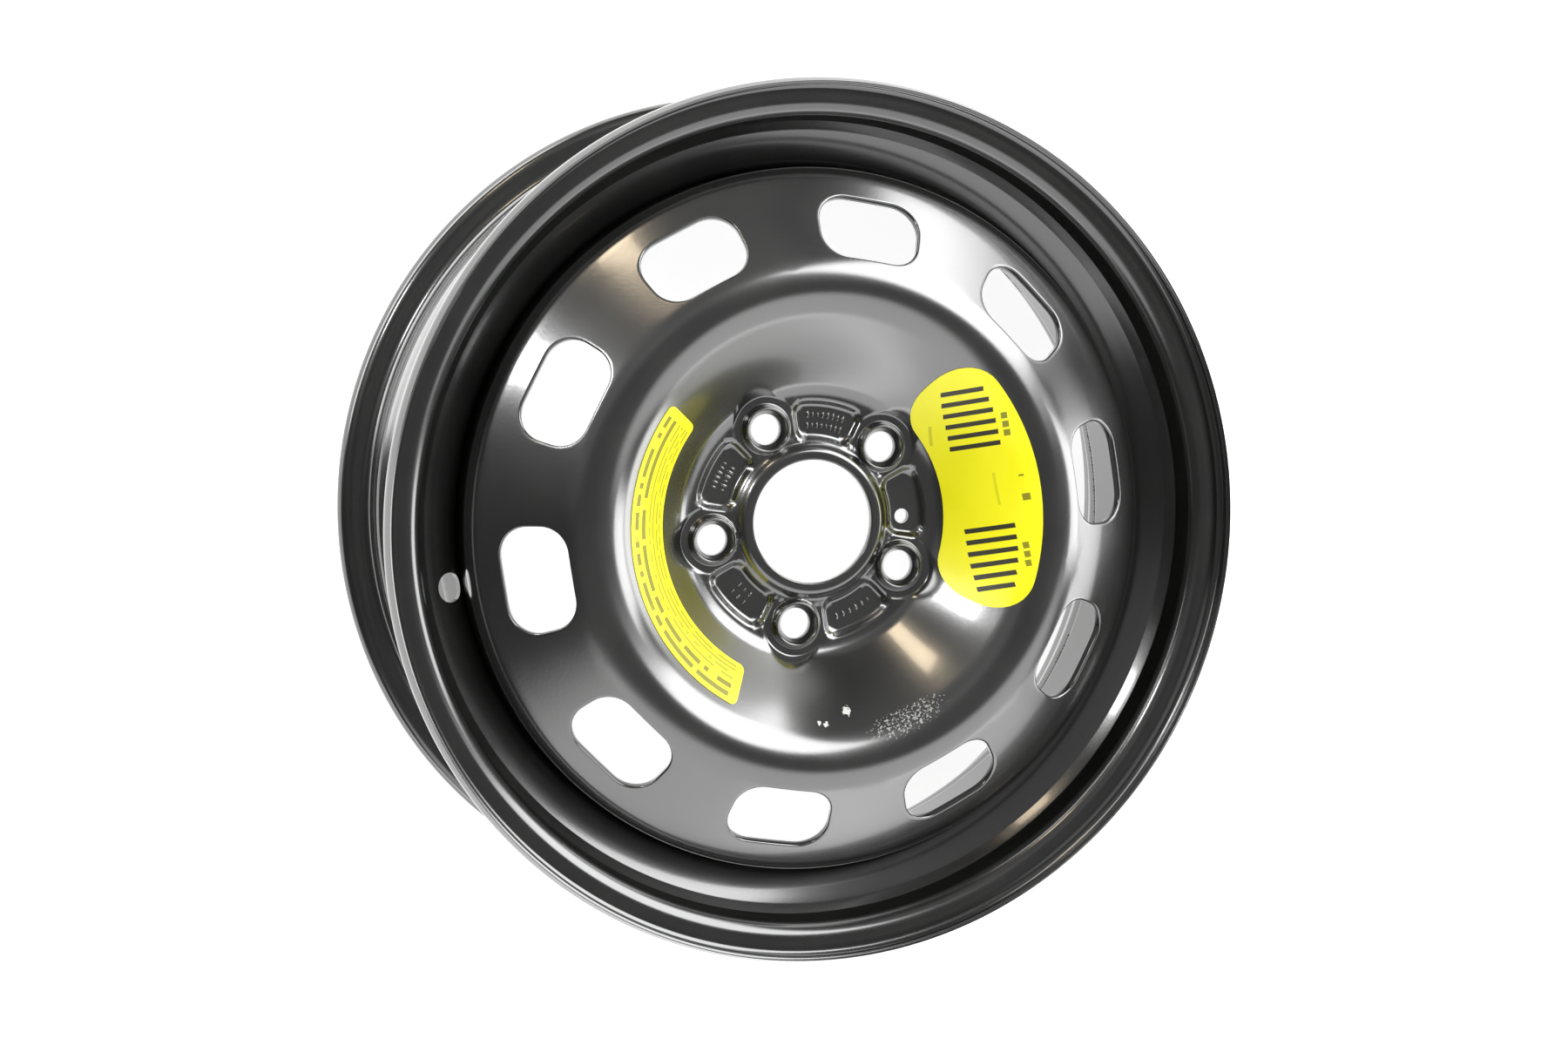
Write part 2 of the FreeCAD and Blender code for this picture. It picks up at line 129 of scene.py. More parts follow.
class Shade:
    """A socket of a material's node tree. Arithmetic on it adds Math nodes."""

    def __init__(self, tree, socket=None):
        self.tree = tree
        self.socket = socket

    def node(self, kind, settings=None, inputs=None, output=0):
        made = self.tree.nodes.new(kind)
        for name, value in (settings or {}).items():
            setattr(made, name, value)
        for key, value in (inputs or {}).items():
            if isinstance(value, Shade):
                self.tree.links.new(value.socket, made.inputs[key])
            else:
                made.inputs[key].default_value = value
        return Shade(self.tree, made.outputs[output] if made.outputs else None)

    def math(self, operation, *values):
        return self.node("ShaderNodeMath", {"operation": operation}, dict(enumerate(values)))

    def __add__(self, other):
        return self.math("ADD", self, other)

    def __radd__(self, other):
        return self.math("ADD", other, self)

    def __sub__(self, other):
        return self.math("SUBTRACT", self, other)

    def __rsub__(self, other):
        return self.math("SUBTRACT", other, self)

    def __mul__(self, other):
        return self.math("MULTIPLY", self, other)

    def __truediv__(self, other):
        return self.math("DIVIDE", self, other)

    def size(self):
        """The value without its sign."""
        return self.math("ABSOLUTE", self)

    def root(self):
        return self.math("SQRT", self)

    def most(self, other):
        return self.math("MAXIMUM", self, other)

    def between(self, low, high):
        """0 below low, 1 above high, smooth between them."""
        return self.node(
            "ShaderNodeMapRange", {"interpolation_type": "SMOOTHSTEP"},
            {"Value": self, "From Min": low, "From Max": high})

    def mix(self, first, second):
        """From the first colour at 0 to the second at 1."""
        return self.node(
            "ShaderNodeMix", {"data_type": "RGBA"}, {0: self, 6: first, 7: second}, 2)


def new_material(name):
    """An empty material, its tree wrapped for expressions, and its surface shader."""
    material = bpy.data.materials.new(name)
    material.use_nodes = True
    tree = material.node_tree
    return material, Shade(tree), tree.nodes["Principled BSDF"]


def feed(tree, shader, **links):
    for name, value in links.items():
        tree.tree.links.new(value.socket, shader.inputs[name.replace("_", " ")])


# Knocks on the dome, as radius, angle and size in millimetres and degrees.
KNOCKS = [(101.2, 88.1, 2.7), (106.5, 80.7, 1.4), (106.0, 78.7, 1.2), (117.9, 73.9, 2.2)]


def dipped_paint(name, index, coat):
    """Black dip paint with the given index of refraction and clear coat. The rim's copy reflects less than
    the disc's, as painted shade.
    """
    material, tree, shader = new_material(name)
    spot = tree.node("ShaderNodeTexCoord", output=3)
    cloud = tree.node("ShaderNodeTexNoise", {}, {"Vector": spot, "Scale": 26.0, "Detail": 3.0})
    peel = tree.node("ShaderNodeTexNoise", {}, {"Vector": spot, "Scale": 620.0, "Detail": 2.0})
    grit = tree.node(
        "ShaderNodeTexNoise", {},
        {"Vector": spot, "Scale": 780.0, "Detail": 3.0, "Roughness": 0.6})
    across = tree.node("ShaderNodeSeparateXYZ", {}, {0: spot})
    along = Shade(across.tree, across.socket.node.outputs[1])
    height = Shade(across.tree, across.socket.node.outputs[2])
    ragged = tree.node("ShaderNodeTexNoise", {}, {"Vector": spot, "Scale": 700.0, "Detail": 3.0})
    bare = None
    for radius, angle, size in KNOCKS:
        east = across - radius * math.cos(math.radians(angle)) / 1000
        north = along - radius * math.sin(math.radians(angle)) / 1000
        gap = (east * east + north * north).root() / (size / 1000)
        near = 1 - (gap + (ragged - 0.5) * 2.4).between(0.7, 0.85)
        bare = near if bare is None else bare.most(near)
    # A scuff along the dome's foot, rubbed through in specks.
    ring = (across * across + along * along).root() * 1000
    off_line = (ring - 114).size() / 8
    off_middle = (along.math("ARCTAN2", along, across) - math.radians(104)).size() / math.radians(13.5)
    scuffed = 1 - (off_line * off_line + off_middle * off_middle).between(0.15, 1.0)
    speckle = (grit + scuffed * 0.10).between(0.62, 0.70) * scuffed.between(0.0, 0.2)
    dome_only = height.between(0.012, 0.016)
    worn = bare.most(speckle * 0.55) * dome_only
    black = cloud.between(0.3, 0.7).mix((0.0062, 0.0070, 0.0062, 1), (0.0090, 0.0096, 0.0086, 1))
    feed(
        tree, shader,
        Base_Color=worn.mix(black, (0.55, 0.55, 0.53, 1)),
        Roughness=0.17 + cloud * 0.08 + worn * 0.3,
        Normal=tree.node("ShaderNodeBump", {}, {"Strength": 0.06, "Distance": 0.0003, "Height": peel}),
    )
    shader.inputs["IOR"].default_value = index
    shader.inputs["Coat Weight"].default_value = coat
    shader.inputs["Coat Roughness"].default_value = 0.08
    return material


# The rim's copy of the paint reflects less than the disc's: painted shade for the rim's darker reflections.
rim_paint_shaded = dipped_paint("rim_paint_shaded", 1.8, 0.8)
RIM_SHEET, CUT_EDGE = 2.6, 0.9
BEAD_FACES = (28.2, -124.2)
FLANGE_RADIUS, SEAT_RADIUS, SHOULDER_RADIUS = 235.8, 218.3, 211.5
WELL_RADIUS, LEDGE_RADIUS = 192.8, 206
CURL_BEND, LIP_TURN, LIP_LENGTH = 6.5, math.radians(30), 2.0
SEAT_BEND, SEAT_TAPER, SEAT_LENGTH = 6.5, math.radians(5), 15
HUMP_BEND, HUMP_RUN, HUMP_RISE = 4.5, 4, 1.4
SHOULDER_BEND, SHOULDER_RUN = 6, 25.5
WELL_BEND, WELL_WALL, WELL_LENGTH = 8, math.radians(60), 47
LEDGE_BEND, LEDGE_SLOPE = 12, math.radians(32)
VALVE_RADIUS, VALVE_HOLE = 199, 15.7
curl_middle = FLANGE_RADIUS - CURL_BEND
curl_corner = curl_middle + CURL_BEND * (1 + math.sin(LIP_TURN)) / math.cos(LIP_TURN)
lip_radius = curl_middle + CURL_BEND * math.cos(LIP_TURN) - LIP_LENGTH * math.sin(LIP_TURN)
lip_reach = CURL_BEND * (1 + math.sin(LIP_TURN)) + LIP_LENGTH * math.cos(LIP_TURN)
hump_foot = SEAT_RADIUS - SEAT_LENGTH * math.tan(SEAT_TAPER)


def bead_corners(face, inward):
    """The rolled contour of one bead, from its lip to the shoulder of the well."""
    return [
        (lip_radius, face - inward * lip_reach, 0),
        (curl_corner, face, CURL_BEND),
        (SEAT_RADIUS, face, SEAT_BEND),
        (hump_foot, face + inward * SEAT_LENGTH, HUMP_BEND),
        (hump_foot + HUMP_RISE, face + inward * (SEAT_LENGTH + HUMP_RUN), HUMP_BEND),
        (SHOULDER_RADIUS, face + inward * SHOULDER_RUN, SHOULDER_BEND),
    ]


shoulder_front = BEAD_FACES[0] - SHOULDER_RUN
well_front = shoulder_front - (SHOULDER_RADIUS - WELL_RADIUS) / math.tan(WELL_WALL)
well_rear = well_front - WELL_LENGTH
ledge = well_rear - (LEDGE_RADIUS - WELL_RADIUS) / math.tan(LEDGE_SLOPE)
valve_height = well_front + (VALVE_RADIUS - WELL_RADIUS) / math.tan(WELL_WALL)
rim_corners = (
    bead_corners(BEAD_FACES[0], -1)
    + [(WELL_RADIUS, well_front, WELL_BEND), (WELL_RADIUS, well_rear, WELL_BEND),
       (LEDGE_RADIUS, ledge, LEDGE_BEND)]
    + bead_corners(BEAD_FACES[1], 1)[::-1]
)
tyre_side, weather_way = bent_line(rim_corners, run=4.0, turn=math.radians(9))
weather_side = tyre_side + weather_way * RIM_SHEET
inboard_end = rounded_end(tyre_side, weather_way, RIM_SHEET, CUT_EDGE)
outboard_end = rounded_end(tyre_side[::-1], -weather_way[::-1], -RIM_SHEET, -CUT_EDGE)
rim_section = np.concatenate(
    [tyre_side[1:-1], inboard_end, weather_side[1:-1][::-1], outboard_end[::-1]])
RIM_TURNS = 320


def spun(section, turns):
    """Points and faces of a closed section turned round the axle."""
    angles = np.arange(turns) * 2 * math.pi / turns
    places = np.stack([
        np.outer(np.cos(angles), section[:, 0]),
        np.outer(np.sin(angles), section[:, 0]),
        np.tile(section[:, 1], (turns, 1)),
    ], axis=-1).reshape(-1, 3)
    count = len(section)
    faces = [
        (i * count + j, i * count + (j + 1) % count,
         (i + 1) % turns * count + (j + 1) % count, (i + 1) % turns * count + j)
        for i in range(turns) for j in range(count)
    ]
    return places, faces


rim = piece_from("wheel_rim", *spun(rim_section, RIM_TURNS), rim_paint_shaded)
punch_mesh = bpy.data.meshes.new("valve_punch")
punch = bmesh.new()
bmesh.ops.create_cone(
    punch, cap_ends=True, segments=72, radius1=VALVE_HOLE / 2000, radius2=VALVE_HOLE / 2000,
    depth=0.03, matrix=Matrix.Translation((VALVE_RADIUS / 1000, 0, valve_height / 1000))
    @ Matrix.Rotation(WELL_WALL - math.pi / 2, 4, "Y"))
punch.to_mesh(punch_mesh)
punch.free()
punch_mesh.materials.append(rim_paint_shaded)
punch_piece = bpy.data.objects.new("valve_punch", punch_mesh)
bpy.context.scene.collection.objects.link(punch_piece)
pierce = rim.modifiers.new("valve_hole", "BOOLEAN")
pierce.operation = "DIFFERENCE"
pierce.solver = "EXACT"
pierce.object = punch_piece
keep_result(rim)
bpy.data.objects.remove(punch_piece)
rim.data.set_sharp_from_angle(angle=math.radians(50))
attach(rim, "root")
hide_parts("rim")


# Disc: 4 mm steel sheet, deep-drawn to a domed centre with a slotted cone round it and a
# flange that slides into the rim's well. Hub face, bolt seats and pads are coined in the
# press, and the paint is the rim's.
# The disc's copy of the paint reflects more than the rim's copy, which is painted shade.
disc_paint = dipped_paint("disc_paint", 2.05, 1.0)
DISC_SHEET = 4.0
HUB_FRONT, HUB_BACK = 7.7, 3.7
BORE_RADIUS, BORE_EDGE = 33.3, 0.8
LIP_EDGE, LIP_FOOT, LIP_RISE, LIP_BEND = 38.5, 42.5, 3.5, 3
CREST_RADIUS, CREST_HEIGHT, CREST_BEND = 128.3, 45, 28
FOOT_BEND, FLANGE_BEND = 14, 12
FLANGE_OUTER, FLANGE_END = 190.1, -38
dome, cone = math.radians(38), math.radians(29.4)
crest_corner = CREST_RADIUS + CREST_BEND * (math.cos(dome) - math.cos(cone)) / math.sin(dome + cone)
crest_height = (
    CREST_HEIGHT - CREST_BEND + CREST_BEND * (math.sin(dome) + math.sin(cone)) / math.sin(dome + cone))
disc_corners = [
    (BORE_RADIUS, HUB_FRONT + LIP_RISE, 0),
    (LIP_EDGE, HUB_FRONT + LIP_RISE, LIP_BEND),
    (LIP_FOOT, HUB_FRONT, LIP_BEND),
    (crest_corner - (crest_height - HUB_FRONT) / math.tan(dome), HUB_FRONT, FOOT_BEND),
    (crest_corner, crest_height, CREST_BEND),
    (FLANGE_OUTER, crest_height - (FLANGE_OUTER - crest_corner) * math.tan(cone), FLANGE_BEND),
    (FLANGE_OUTER, FLANGE_END, 0),
]
fine_face, fine_way = bent_line(disc_corners, run=0.05, turn=math.radians(0.1))
fine_back = fine_face + fine_way * DISC_SHEET
fine_back[:, 0] = np.maximum.accumulate(fine_back[:, 0])


SWELL_RISE, SWELL_RADIUS, SWELL_HALF = 0.6, 99, 23


def swell(radius):
    """A slight crown on the dome's straight flank, which softens what it reflects."""
    off_middle = np.clip((np.asarray(radius) - SWELL_RADIUS) / SWELL_HALF, -1, 1)
    return SWELL_RISE * np.cos(off_middle * math.pi / 2) ** 2


def face_height(radius):
    return np.interp(radius, fine_face[:, 0], fine_face[:, 1]) + swell(radius)


def back_height(radius):
    return np.interp(radius, fine_back[:, 0], fine_back[:, 1]) + swell(radius)


def soft_least(a, b, blend):
    share = np.maximum(blend - np.abs(a - b), 0) / blend
    return np.minimum(a, b) - share * share * blend / 4


def soft_most(a, b, blend):
    return -soft_least(-a, -b, blend)


BOLT_CIRCLE = 56
BOLTS = [
    (BOLT_CIRCLE * math.cos(a), BOLT_CIRCLE * math.sin(a)) for a in np.arange(5) * math.radians(72)]
BOLT_HOLE, BOLT_SEAT, SEAT_DEPTH = 8.25, 11.0, 4.8
COLLAR_FOOT, COLLAR_TOP, COLLAR_HEIGHT = 13.5, 12.0, 4
LOBE_RADIUS, LOBE_BACK, LOBE_SLOPE, LOBE_INNER, INNER_SLOPE = 18, 20, 1.25, 46, 3
PADS = np.radians(36 + 72 * np.arange(5))
PAD_RADIUS, PAD_HALF_WIDTH, PAD_HALF_TURN, PAD_CORNER = 54.5, 11, math.radians(19.5), 7
PAD_FLOOR, PAD_WALL, PAD_BACK_SHIFT = 4.0, math.tan(math.radians(35)), 1.26
LOCATOR_WAY = math.radians(172.4)
LOCATOR = (53 * math.cos(LOCATOR_WAY), 53 * math.sin(LOCATOR_WAY), 4.0)


def pad_gap(radius, angle, middle):
    """Distance outside the rounded outline of a contact pad, less than 0 inside it."""
    turn = (angle - middle + math.pi) % (2 * math.pi) - math.pi
    past_ring = np.abs(radius - PAD_RADIUS) - (PAD_HALF_WIDTH - PAD_CORNER)
    past_side = np.abs(turn) * PAD_RADIUS - (PAD_HALF_TURN * PAD_RADIUS - PAD_CORNER)
    corner = np.hypot(np.maximum(past_ring, 0), np.maximum(past_side, 0))
    return corner + np.minimum(np.maximum(past_ring, past_side), 0) - PAD_CORNER


def lobe_height(gap, radius, base, reach):
    """The flat round a bolt hole, rising outside its reach and towards the bore."""
    return (base + np.maximum(gap - reach, 0) * LOBE_SLOPE
            + np.maximum(LOBE_INNER - radius, 0) * INNER_SLOPE)


def hub_face(x, y):
    """Height of the pressed outboard face inside the dome."""
    radius, angle = np.hypot(x, y), np.arctan2(y, x)
    high = face_height(radius)
    for across_hub, up_hub in BOLTS:
        gap = np.hypot(x - across_hub, y - up_hub)
        high = soft_least(high, lobe_height(gap, radius, HUB_FRONT, LOBE_RADIUS), 1.4)
    for middle in PADS:
        wall = HUB_FRONT + pad_gap(radius, angle, middle) / PAD_WALL
        high = soft_least(high, soft_most(wall, np.full_like(wall, PAD_FLOOR), 1.2), 1.2)
    for across_hub, up_hub in BOLTS:
        gap = np.hypot(x - across_hub, y - up_hub)
        top = np.full_like(gap, HUB_FRONT + COLLAR_HEIGHT)
        flank = HUB_FRONT + (COLLAR_FOOT - gap) * COLLAR_HEIGHT / (COLLAR_FOOT - COLLAR_TOP)
        cone_seat = top - (BOLT_SEAT - gap) * SEAT_DEPTH / (BOLT_SEAT - BOLT_HOLE)
        collar = soft_least(soft_least(flank, top, 0.8), cone_seat, 0.8)
        high = np.where(gap < 11.2, collar, soft_most(high, collar, 1.0))
    edge = np.clip(BORE_EDGE - (radius - BORE_RADIUS), 0, BORE_EDGE)
    return high - (BORE_EDGE - np.sqrt(BORE_EDGE ** 2 - edge ** 2))


def hub_back(x, y):
    """Height of the inboard face inside the dome, with the pads down on the hub plane."""
    radius, angle = np.hypot(x, y), np.arctan2(y, x)
    high = back_height(radius)
    for across_hub, up_hub in BOLTS:
        gap = np.hypot(x - across_hub, y - up_hub)
        high = soft_least(high, lobe_height(gap, radius, HUB_BACK, LOBE_BACK), 1.4)
    for middle in PADS:
        wall = HUB_BACK + (pad_gap(radius, angle, middle) - PAD_BACK_SHIFT) / PAD_WALL
        high = soft_least(high, soft_most(wall, np.zeros_like(wall), 1.0), 1.0)
    return high


COLUMNS = 300
DOME_START, VENT_START, VENT_END = 84.0, 136.0, 180.0
column_angles = np.arange(COLUMNS) * 2 * math.pi / COLUMNS
# The hub's mesh is laid in rings about the axle, with finer rings about each hole.
hub_points = []
rings = np.concatenate([
    BORE_RADIUS + np.array([0, 0.06, 0.24, 0.5, 0.8, 1.6]),
    np.arange(36, 68, 0.95), np.arange(68, 83.5, 1.25), [DOME_START]])
for ring in rings:
    x, y = ring * np.cos(column_angles), ring * np.sin(column_angles)
    keep = np.ones(COLUMNS, bool)
    for across_hub, up_hub in BOLTS:
        gap = np.hypot(x - across_hub, y - up_hub)
        keep &= ~((gap < 14.4) | ((gap < 24) & (ring > 44.5)))
    keep &= np.hypot(x - LOCATOR[0], y - LOCATOR[1]) > 6.6
    keep |= ring < 42.2
    hub_points.append(np.stack([x, y], 1)[keep | (ring >= 83.9)])
bolt_rings = np.concatenate([
    [8.25, 8.6, 9.3, 10.0, 10.5], np.arange(10.8, 14.1, 0.28), np.arange(14.3, 23.6, 0.7)])
bolt_angles = np.arange(72) * 2 * math.pi / 72
for across_hub, up_hub in BOLTS:
    for ring in bolt_rings:
        spots = np.stack(
            [across_hub + ring * np.cos(bolt_angles), up_hub + ring * np.sin(bolt_angles)], 1)
        radius = np.hypot(*spots.T)
        clear = (radius > 45.2) | ((ring < 14) & (radius > 42.6))
        clear &= np.hypot(spots[:, 0] - LOCATOR[0], spots[:, 1] - LOCATOR[1]) > 6.6
        clear &= radius < 83
        hub_points.append(spots[clear])
for ring in (4.0, 4.25, 4.7, 5.3, 6.0):
    turn = np.arange(40) * 2 * math.pi / 40
    hub_points.append(
        np.stack([LOCATOR[0] + ring * np.cos(turn), LOCATOR[1] + ring * np.sin(turn)], 1))
hub_points = np.concatenate(hub_points)
laid = geometry.delaunay_2d_cdt([Vector(p) for p in hub_points], [], [], 0, 1e-5)
flat = np.array([tuple(v) for v in laid[0]])
triangles = np.array([tuple(f) for f in laid[2]])
middle = flat[triangles].mean(axis=1)
solid = np.hypot(*middle.T) > BORE_RADIUS - 0.02
for across_hub, up_hub in BOLTS:
    solid &= np.hypot(middle[:, 0] - across_hub, middle[:, 1] - up_hub) > BOLT_HOLE - 0.02
solid &= np.hypot(middle[:, 0] - LOCATOR[0], middle[:, 1] - LOCATOR[1]) > LOCATOR[2] - 0.02
triangles = triangles[solid]

disc_places, disc_faces = [], []


def add_points(places):
    start = sum(len(block) for block in disc_places)
    disc_places.append(np.asarray(places, float))
    return start


def add_rows(rows, closed=True):
    """Quads between rows of points that each go round."""
    rows = np.asarray(rows, float)
    start = add_points(rows.reshape(-1, 3))
    many, count = rows.shape[:2]
    for i in range(many - 1):
        for j in range(count if closed else count - 1):
            k = (j + 1) % count
            disc_faces.append((
                start + i * count + j, start + i * count + k,
                start + (i + 1) * count + k, start + (i + 1) * count + j))


def ring_row(radius, height):
    return np.stack([
        radius * np.cos(column_angles), radius * np.sin(column_angles), np.full(COLUMNS, height)], 1)


for height_of in (hub_face, hub_back):
    start = add_points(np.column_stack([flat, height_of(*flat.T)]))
    disc_faces += [tuple(start + i for i in t) for t in triangles]


def hole_wall(across_hub, up_hub, radius, angles):
    x, y = across_hub + radius * np.cos(angles), up_hub + radius * np.sin(angles)
    top, bottom = hub_face(x, y), hub_back(x, y)
    add_rows([np.stack([x, y, top + (bottom - top) * share], 1) for share in (0, 0.5, 1)])


hole_wall(0, 0, BORE_RADIUS, column_angles)
for across_hub, up_hub in BOLTS:
    hole_wall(across_hub, up_hub, BOLT_HOLE, bolt_angles)
hole_wall(LOCATOR[0], LOCATOR[1], LOCATOR[2], np.arange(40) * 2 * math.pi / 40)

dome_rings = np.linspace(DOME_START, VENT_START, 27)
coarse_face, coarse_way = bent_line(disc_corners, run=3.0, turn=math.radians(6))
coarse_back = coarse_face + coarse_way * DISC_SHEET
for height_of, coarse in ((face_height, coarse_face), (back_height, coarse_back)):
    add_rows([ring_row(r, height_of(r)) for r in dome_rings])
    outer = coarse[coarse[:, 0] > VENT_END + 0.8][:-1]
    outer = np.concatenate([[(VENT_END, float(height_of(VENT_END)))], outer])
    tip = rounded_end(coarse_face, coarse_way, DISC_SHEET, CUT_EDGE)
    tip = tip[:5] if coarse is coarse_face else tip[5:][::-1]
    add_rows([ring_row(*spot) for spot in np.concatenate([outer, tip])])
flange_end = rounded_end(coarse_face, coarse_way, DISC_SHEET, CUT_EDGE)
add_rows([ring_row(*spot) for spot in flange_end[4:6]])

# Each vent is a rounded trapezium, pierced square to the cone, its edges rolled by the punch.
VENT_RADIUS, VENT_COUNT = 158.1, 10
VENT_HALF_HEIGHT, VENT_OUTER_HALF, VENT_INNER_HALF, VENT_CORNER = 18.45, 30, 25.5, 15
vent_side = (0, -(VENT_OUTER_HALF + VENT_INNER_HALF) / 2, 0)
vent_corners = [
    vent_side,
    (VENT_HALF_HEIGHT, -VENT_OUTER_HALF, VENT_CORNER), (VENT_HALF_HEIGHT, VENT_OUTER_HALF, VENT_CORNER),
    (-VENT_HALF_HEIGHT, VENT_INNER_HALF, VENT_CORNER), (-VENT_HALF_HEIGHT, -VENT_INNER_HALF, VENT_CORNER),
    vent_side,
]
outline, outward = bent_line(vent_corners, run=0.2, turn=math.radians(0.5))
vent_centre = np.array([VENT_RADIUS, 0, float(face_height(VENT_RADIUS))])
downhill = np.array([math.cos(cone), 0, -math.sin(cone)])
square = np.array([math.sin(cone), 0, math.cos(cone)])
SECTOR_COLUMNS = COLUMNS // VENT_COUNT
half_sector = math.pi / VENT_COUNT


def on_sheet(spots, height_of):
    """Points of the vent's flat outline carried square onto one face of the cone."""
    lift = np.zeros(len(spots))
    for step in range(12):
        places = (vent_centre + spots[:, :1] * downhill + spots[:, 1:] * np.array([0, 1, 0])
                  + lift[:, None] * square)
        lift -= (places[:, 2] - height_of(np.hypot(places[:, 0], places[:, 1]))) * math.cos(cone)
    return places


def spread(places):
    """Radius and distance round the axle of points near the vent."""
    return np.stack([np.hypot(places[:, 0], places[:, 1]) - VENT_RADIUS,
                     VENT_RADIUS * np.arctan2(places[:, 1], places[:, 0])], 1)


side_rings = np.linspace(VENT_START, VENT_END, 11)
swing = np.linspace(-half_sector, half_sector, SECTOR_COLUMNS + 1)
border = np.concatenate([
    np.stack([np.full(SECTOR_COLUMNS, VENT_START), swing[:-1]], 1),
    np.stack([side_rings[:-1], np.full(10, half_sector)], 1),
    np.stack([np.full(SECTOR_COLUMNS, VENT_END), swing[::-1][:-1]], 1),
    np.stack([side_rings[::-1][:-1], np.full(10, -half_sector)], 1),
])
border_way = np.arctan2(VENT_RADIUS * border[:, 1], border[:, 0] - VENT_RADIUS)
outline_spread = spread(on_sheet(outline[:-1], face_height))
outline_way = np.arctan2(outline_spread[:, 1], outline_spread[:, 0])
order = np.argsort(outline_way)
edge_spots, edge_ways = (
    np.stack([
        np.interp(border_way, outline_way[order], values[:-1][order, k], period=2 * math.pi)
        for k in (0, 1)], 1)
    for values in (outline, outward))
edge_ways /= np.linalg.norm(edge_ways, axis=1)[:, None]
if (edge_ways * edge_spots).sum() < 0:
    edge_ways = -edge_ways
FACE_ROLL, BACK_ROLL = 1.0, 0.5
turns = np.linspace(0, math.pi / 2, 5)
wall_rows = [
    on_sheet(edge_spots + edge_ways * FACE_ROLL * (1 - math.sin(t)), face_height)
    - square * FACE_ROLL * (1 - math.cos(t))
    for t in turns]
wall_rows += [
    on_sheet(edge_spots + edge_ways * BACK_ROLL * (1 - math.sin(t)), back_height)
    + square * BACK_ROLL * (1 - math.cos(t))
    for t in turns[::-1]]
shares = np.array([0, 0.05, 0.12, 0.22, 0.36, 0.54, 0.76, 1])
face_rows, back_rows = [], []
for rows, edge_row, height_of in (
    (face_rows, wall_rows[0], face_height), (back_rows, wall_rows[-1], back_height),
):
    edge_polar = np.stack(
        [np.hypot(edge_row[:, 0], edge_row[:, 1]), np.arctan2(edge_row[:, 1], edge_row[:, 0])], 1)
    for share in shares:
        polar = edge_polar + (border - edge_polar) * share
        rows.append(np.stack([
            polar[:, 0] * np.cos(polar[:, 1]), polar[:, 0] * np.sin(polar[:, 1]), height_of(polar[:, 0])], 1))
for k in range(VENT_COUNT):
    turn = k * 2 * half_sector
    about = np.array([[math.cos(turn), math.sin(turn), 0], [-math.sin(turn), math.cos(turn), 0], [0, 0, 1]])
    for rows in (face_rows, wall_rows, back_rows):
        add_rows([row @ about for row in rows])

disc = piece_from("wheel_disc", np.concatenate(disc_places), disc_faces, disc_paint)
disc.data.set_sharp_from_angle(angle=math.radians(60))
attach(disc, "root")
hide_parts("disc")


# Weld beads: eight runs of fillet weld laid by machine between the disc's flange and the
# rim's well. The steel wire sets in ripples, and the dip paints them over with the rest.
def new_group(name, sockets):
    """A node group with named inputs, its tree for expressions, and its inputs by name."""
    group = bpy.data.node_groups.new(name, "GeometryNodeTree")
    for label, kind in sockets:
        group.interface.new_socket(label, in_out="INPUT", socket_type=kind)
    group.interface.new_socket("Geometry", in_out="OUTPUT", socket_type="NodeSocketGeometry")
    flow = Shade(group)
    given = flow.node("NodeGroupInput").socket.node.outputs
    return group, flow, {socket.name: Shade(group, socket) for socket in given if socket.name}


def grown(name, mesh, group, values):
    """A piece that keeps what the node group makes of its mesh."""
    piece = bpy.data.objects.new(name, mesh)
    bpy.context.scene.collection.objects.link(piece)
    growing = piece.modifiers.new(group.name, "NODES")
    growing.node_group = group
    for socket in group.interface.items_tree:
        if socket.in_out == "INPUT" and socket.name in values:
            growing[socket.identifier] = values[socket.name]
    keep_result(piece)
    return piece


def painted_result(flow, instances, paint):
    """End a node group: instances made real, shaded smooth and given their paint."""
    real = flow.node("GeometryNodeRealizeInstances", {}, {0: instances})
    smooth = flow.node("GeometryNodeSetShadeSmooth", {}, {0: real})
    coated = flow.node("GeometryNodeSetMaterial", {}, {0: smooth, "Material": paint})
    flow.node("NodeGroupOutput", {}, {0: coated})


painted_weld, tree, shader = new_material("painted_weld")
spot = tree.node("ShaderNodeTexCoord", output=3)
cloud = tree.node("ShaderNodeTexNoise", {}, {"Vector": spot, "Scale": 90.0, "Detail": 3.0})
grain = tree.node("ShaderNodeTexNoise", {}, {"Vector": spot, "Scale": 900.0, "Detail": 2.0})
feed(
    tree, shader,
    Base_Color=cloud.between(0.3, 0.7).mix((0.010, 0.010, 0.009, 1), (0.020, 0.018, 0.015, 1)),
    Roughness=0.3 + cloud * 0.2,
    Normal=tree.node("ShaderNodeBump", {}, {"Strength": 0.25, "Distance": 0.0003, "Height": grain}),
)
shader.inputs["IOR"].default_value = 1.6
group, flow, given = new_group("weld_run", (
    ("Radius", "NodeSocketFloat"), ("Height", "NodeSocketFloat"), ("Runs", "NodeSocketInt"),
    ("Sweep", "NodeSocketFloat"), ("Ripples", "NodeSocketInt"), ("Leg", "NodeSocketFloat"),
    ("Paint", "NodeSocketMaterial")))
each = flow.node("GeometryNodeInputIndex")
run = (each / given["Ripples"]).math("FLOOR", each / given["Ripples"])
place = each - run * given["Ripples"]
off_middle = place / (given["Ripples"] - 1) - 0.5
weld_turn = run * (2 * math.pi) / given["Runs"] + off_middle * given["Sweep"]
sunk = given["Leg"] * 0.28
wobble = flow.node(
    "FunctionNodeRandomValue", {"data_type": "FLOAT"}, {2: -0.05, 3: 0.05, "ID": each, "Seed": 7}, 1)
line = flow.node("GeometryNodePoints", {}, {
    "Count": given["Runs"] * given["Ripples"],
    "Position": flow.node("ShaderNodeCombineXYZ", {}, {
        0: weld_turn.math("COSINE", weld_turn) * (given["Radius"] - sunk),
        1: weld_turn.math("SINE", weld_turn) * (given["Radius"] - sunk),
        2: given["Height"] - sunk})})
